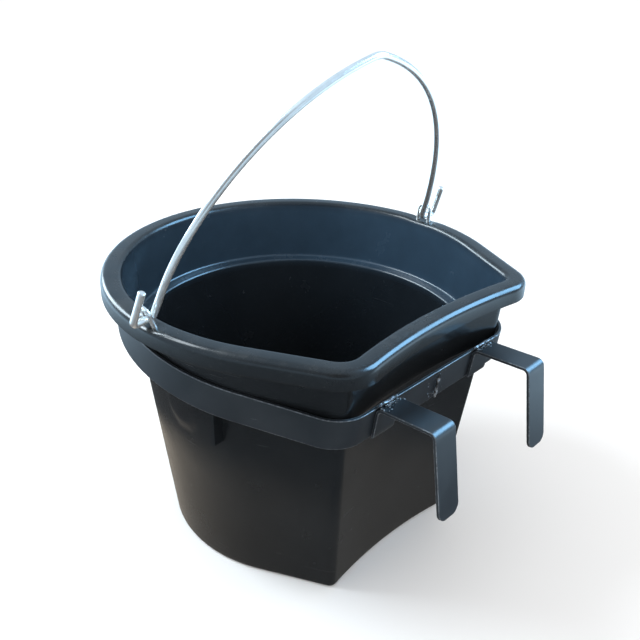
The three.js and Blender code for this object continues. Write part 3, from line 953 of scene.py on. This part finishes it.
def droplet(vertices, faces, centre, radius, normal):
    """Adds a flattened drop of spatter that sits on a surface."""
    rings, sides = 4, 8
    across = normal.orthogonal().normalized()
    over = normal.cross(across)
    proud = normal * radius * SPATTER_PROUD
    rows = []
    for i in range(rings):
        tilt = math.pi / 2 * (i / rings)
        row = []
        for k in range(sides):
            turn = 2 * math.pi * k / sides
            spread = (across * math.cos(turn) + over * math.sin(turn)) * radius * math.cos(tilt)
            vertices.append(centre + spread + proud * (math.sin(tilt) - 0.15))
            row.append(len(vertices) - 1)
        rows.append(row)
    vertices.append(centre + proud * 0.85)
    faces += strip(rows) + fan(rows[-1], len(vertices) - 1)
    faces.append(tuple(reversed(rows[0])))


def weld_piece(node, name, place, vertices, faces, material):
    """A bead and its spatter, put in their place on the carrier."""
    vertices = [CARRIER @ place @ v for v in vertices]
    weld = make_object(name, vertices, faces, material, "carrier", sharp_degrees=80)
    return stand_in(weld, node)


def hook_weld(side, material):
    """The bead across the plate's inner end, with spatter thrown along the plate."""
    draw = random.Random(11 if side > 0 else 5)
    vertices, faces = bead_mesh(HOOK_WIDTH, WELD, seed=2 + side)
    spatter_normal = Vector((0, -0.25, 1)).normalized()
    for _ in range(HOOK_SPATTER):
        x = draw.gauss(0, 0.42 * HOOK_WIDTH)
        if abs(x) > 0.5 * HOOK_WIDTH:
            continue
        reach = abs(draw.gauss(0, 3.2 * MM))
        rise = (reach + 1 * MM) * math.tan(HOOK_TOP_RISE)
        centre = Vector((x, -2.6 * MM - reach, 0.15 * MM + rise))
        droplet(vertices, faces, centre, draw.uniform(0.25, 0.8) * MM, spatter_normal)
    place = Matrix.Translation((side * HOOK_X, BAND.back - 0.15 * WELD, 0.5 * WELD + GAP))
    node = "hook_weld_right" if side > 0 else "hook_weld_left"
    return weld_piece(node, node + "_bead", place, vertices, faces, material)


def seam_weld(material):
    """The upright bead that closes the band, with spatter on the band beside it."""
    draw = random.Random(23)
    vertices, faces = bead_mesh(BAND_HEIGHT - 2 * MM, WELD, seed=9)
    upright = Matrix.Rotation(math.pi / 2, 4, "Y")
    vertices = [upright @ v for v in vertices]
    for _ in range(SEAM_SPATTER):
        x = draw.gauss(0, 5.5 * MM)
        z = draw.uniform(-0.46, 0.46) * BAND_HEIGHT
        centre = Vector((x, 0.5 * WELD + GAP - 0.1 * MM, z))
        droplet(vertices, faces, centre, draw.uniform(0.2, 0.7) * MM, Vector((0, -1, 0)))
    place = Matrix.Translation((SEAM_X, BAND.back - 0.5 * WELD - GAP, -BAND_HEIGHT / 2))
    return weld_piece("band_seam_weld", "band_seam_bead", place, vertices, faces, material)


# ---------------------------------------------------------------- stage, light and camera

CAMERA_PLACE = Vector((-0.5312, -0.4950, 0.5873))
CAMERA_TARGET = Vector((-0.0841, -0.0951, 0.2800))
CAMERA_ROLL = math.radians(2.48)
CAMERA_LENS = 44.53              # millimetres, on a sensor 36 mm wide

LIGHT_TARGET = Vector((0, 0, 0.2))
FLOOR_SIZE = 60.0
FLOOR_Z = -0.5 * MM

# What glossy surfaces mirror. Some parts of the floor and the sky are darker or warmer there: the
# floor's part is a painted reflection that glows far away and at the bucket's left foot, with painted
# shade near the bucket and towards the camera.
SKY_COLOUR = (0.50, 0.72, 0.94, 1)
SKY_BEHIND_CAMERA = (0.05, 0.06, 0.07, 1)
MIRRORED_SHADE_NEAR = (0.10, 0.105, 0.11, 1)
MIRRORED_GLOW_FAR = (1.55, 2.25, 2.85, 1)
MIRRORED_GLOW_AT_LEFT_FOOT = (0.64, 0.57, 0.48, 1)
MIRRORED_SHADE_AT_CAMERA = (0.05, 0.08, 0.11, 1)


def painted_floor_reflection(n):
    """A painted reflection: the light the floor gives glossy surfaces, with painted shade near the
    bucket and towards the camera, a painted warm glow at the bucket's left foot, and a glow far away.
    All the ranges are in metres from the origin."""
    distance = n.add("ShaderNodeVectorMath", operation="LENGTH")
    n.feed(distance.inputs[0], n.place)
    split = n.add("ShaderNodeSeparateXYZ")
    n.feed(split.inputs["Vector"], n.place)
    x, y = split.outputs["X"], split.outputs["Y"]

    # painted shade near the bucket, glowing further away
    far = n.ranged(distance.outputs["Value"], 0.45, 1.05, 0.0, 1.0)
    tint = n.blend(far, MIRRORED_SHADE_NEAR, MIRRORED_GLOW_FAR)
    # painted warm glow round the bucket's left foot
    at_foot = n.ranged(distance.outputs["Value"], 0.235, 0.27, 1.0, 0.0)
    at_left = n.ranged(n.math("SUBTRACT", y, x), 0.0, 0.3, 0.25, 1.0)
    tint = n.blend(n.math("MULTIPLY", at_foot, at_left), tint, MIRRORED_GLOW_AT_LEFT_FOOT)
    # painted shade towards the camera
    along_view = n.math("ADD", x, y)
    at_camera = n.math("MULTIPLY",
                       n.ranged(along_view, -0.9, 0.0, 1.0, 0.0),
                       n.ranged(along_view, -1.7, -1.3, 0.75, 1.0))
    return n.blend(n.math("MULTIPLY", at_camera, 0.92), tint, MIRRORED_SHADE_AT_CAMERA)


def floor_material():
    """Pale matt floor to the camera; in glossy surfaces, a glowing painted reflection in place of the
    floor's colour.
    """
    n = Nodes("studio_floor")
    n.finish(Base_Color=(0.92, 0.92, 0.92, 1), Roughness=0.9)
    n.shader.inputs["Specular IOR Level"].default_value = 0.0
    # the painted reflection is an emission that only glossy rays see
    mirrored = n.add("ShaderNodeEmission")
    n.feed(mirrored.inputs["Color"], painted_floor_reflection(n))
    choose = n.add("ShaderNodeMixShader")
    n.feed(choose.inputs["Fac"], n.add("ShaderNodeLightPath").outputs["Is Glossy Ray"])
    n.feed(choose.inputs[1], n.shader.outputs["BSDF"])
    n.feed(choose.inputs[2], mirrored.outputs["Emission"])
    output = n.tree.nodes["Material Output"]
    n.feed(output.inputs["Surface"], choose.outputs["Shader"])
    return n.material


def floor():
    half = FLOOR_SIZE / 2
    corners = [(x, y, FLOOR_Z) for x, y in ((-half, -half), (half, -half), (half, half), (-half, half))]
    mesh = bpy.data.meshes.new("studio_floor")
    mesh.from_pydata(corners, [], [(0, 1, 2, 3)])
    mesh.materials.append(floor_material())
    plane = bpy.data.objects.new("studio_floor", mesh)
    bpy.context.scene.collection.objects.link(plane)


def mirrored_sky(tree):
    """The sky's colour as glossy surfaces see it, dark in the direction of the camera."""
    add, link = tree.nodes.new, tree.links.new
    facing = add("ShaderNodeVectorMath")
    facing.operation = "DOT_PRODUCT"
    link(add("ShaderNodeTexCoord").outputs["Generated"], facing.inputs[0])
    facing.inputs[1].default_value = (CAMERA_PLACE - CAMERA_TARGET).normalized()
    shade = add("ShaderNodeMapRange")
    shade.interpolation_type = "SMOOTHSTEP"
    shade.inputs["From Min"].default_value = 0.78
    shade.inputs["From Max"].default_value = 0.97
    link(facing.outputs["Value"], shade.inputs["Value"])
    sky = add("ShaderNodeMix")
    sky.data_type = "RGBA"
    link(shade.outputs["Result"], sky.inputs["Factor"])
    sky.inputs["A"].default_value = SKY_COLOUR
    sky.inputs["B"].default_value = SKY_BEHIND_CAMERA
    return sky.outputs["Result"]


def studio_world():
    """Plain white to the camera and for shading, and the mirrored sky in glossy surfaces."""
    world = bpy.data.worlds.new("studio_world")
    bpy.context.scene.world = world
    world.use_nodes = True
    tree = world.node_tree
    add, link = tree.nodes.new, tree.links.new
    mirrored = tree.nodes["Background"]
    link(mirrored_sky(tree), mirrored.inputs["Color"])
    plain = add("ShaderNodeBackground")
    plain.inputs["Color"].default_value = (1, 1, 1, 1)
    plain.inputs["Strength"].default_value = 1.1
    choose = add("ShaderNodeMixShader")
    link(add("ShaderNodeLightPath").outputs["Is Glossy Ray"], choose.inputs["Fac"])
    link(plain.outputs["Background"], choose.inputs[1])
    link(mirrored.outputs["Background"], choose.inputs[2])
    link(choose.outputs["Shader"], tree.nodes["World Output"].inputs["Surface"])


def aimed(place, target, turn):
    """The placing of a light or a camera that looks at a target, turned about its line of sight."""
    look = (target - place).to_track_quat("-Z", "Y").to_matrix().to_4x4()
    return Matrix.Translation(place) @ look @ Matrix.Rotation(turn, 4, "Z")


def soft_box(name, direction, distance, size, radiance, colour, turn=0.0, only_mirrored=False):
    """An oval area light of a given brightness, aimed at the bucket and turned about its aim.
    It can be left out of the diffuse light, so that it only shows in glossy surfaces."""
    width, height = size
    light = bpy.data.lights.new(name, "AREA")
    light.shape = "ELLIPSE"
    light.size, light.size_y = width, height
    area = math.pi * width * height / 4
    light.energy = radiance * math.pi * area
    light.color = colour
    obj = bpy.data.objects.new(name, light)
    place = LIGHT_TARGET + Vector(direction).normalized() * distance
    obj.matrix_world = aimed(place, LIGHT_TARGET, turn)
    obj.visible_diffuse = not only_mirrored
    bpy.context.scene.collection.objects.link(obj)


def lights():
    soft_box("soft_box_left", (-0.40, 0.55, 0.70), 2.2, (1.1, 1.1), 13.0, (0.84, 0.94, 1.0))
    soft_box("soft_box_far", (-0.20, 0.85, 0.44), 2.4, (0.85, 2.2), 13.0, (0.74, 0.90, 1.0),
             turn=math.radians(-41), only_mirrored=True)
    soft_box("soft_box_right", (0.66, -0.44, 0.56), 2.4, (1.6, 1.6), 17.0, (0.28, 0.62, 1.0),
             only_mirrored=True)


def camera():
    data = bpy.data.cameras.new("studio_camera")
    data.lens = CAMERA_LENS
    data.sensor_width = 36
    obj = bpy.data.objects.new("studio_camera", data)
    obj.matrix_world = aimed(CAMERA_PLACE, CAMERA_TARGET, CAMERA_ROLL)
    bpy.context.scene.collection.objects.link(obj)
    bpy.context.scene.camera = obj


# ---------------------------------------------------------------- assembly

def build():
    plastic, zinc, paint, weld = moulded_plastic(), zinc_wire(), painted_bar(), weld_metal()
    bucket_shell(plastic)
    for side in (-1, 1):
        side_rib(side, plastic)
        eyelet(side, zinc)
        hook(side, paint)
        hook_weld(side, weld)
    bail(zinc)
    band(paint)
    seam_weld(weld)


build()
floor()
studio_world()
lights()
camera()
bpy.context.scene.view_settings.view_transform = "Standard"
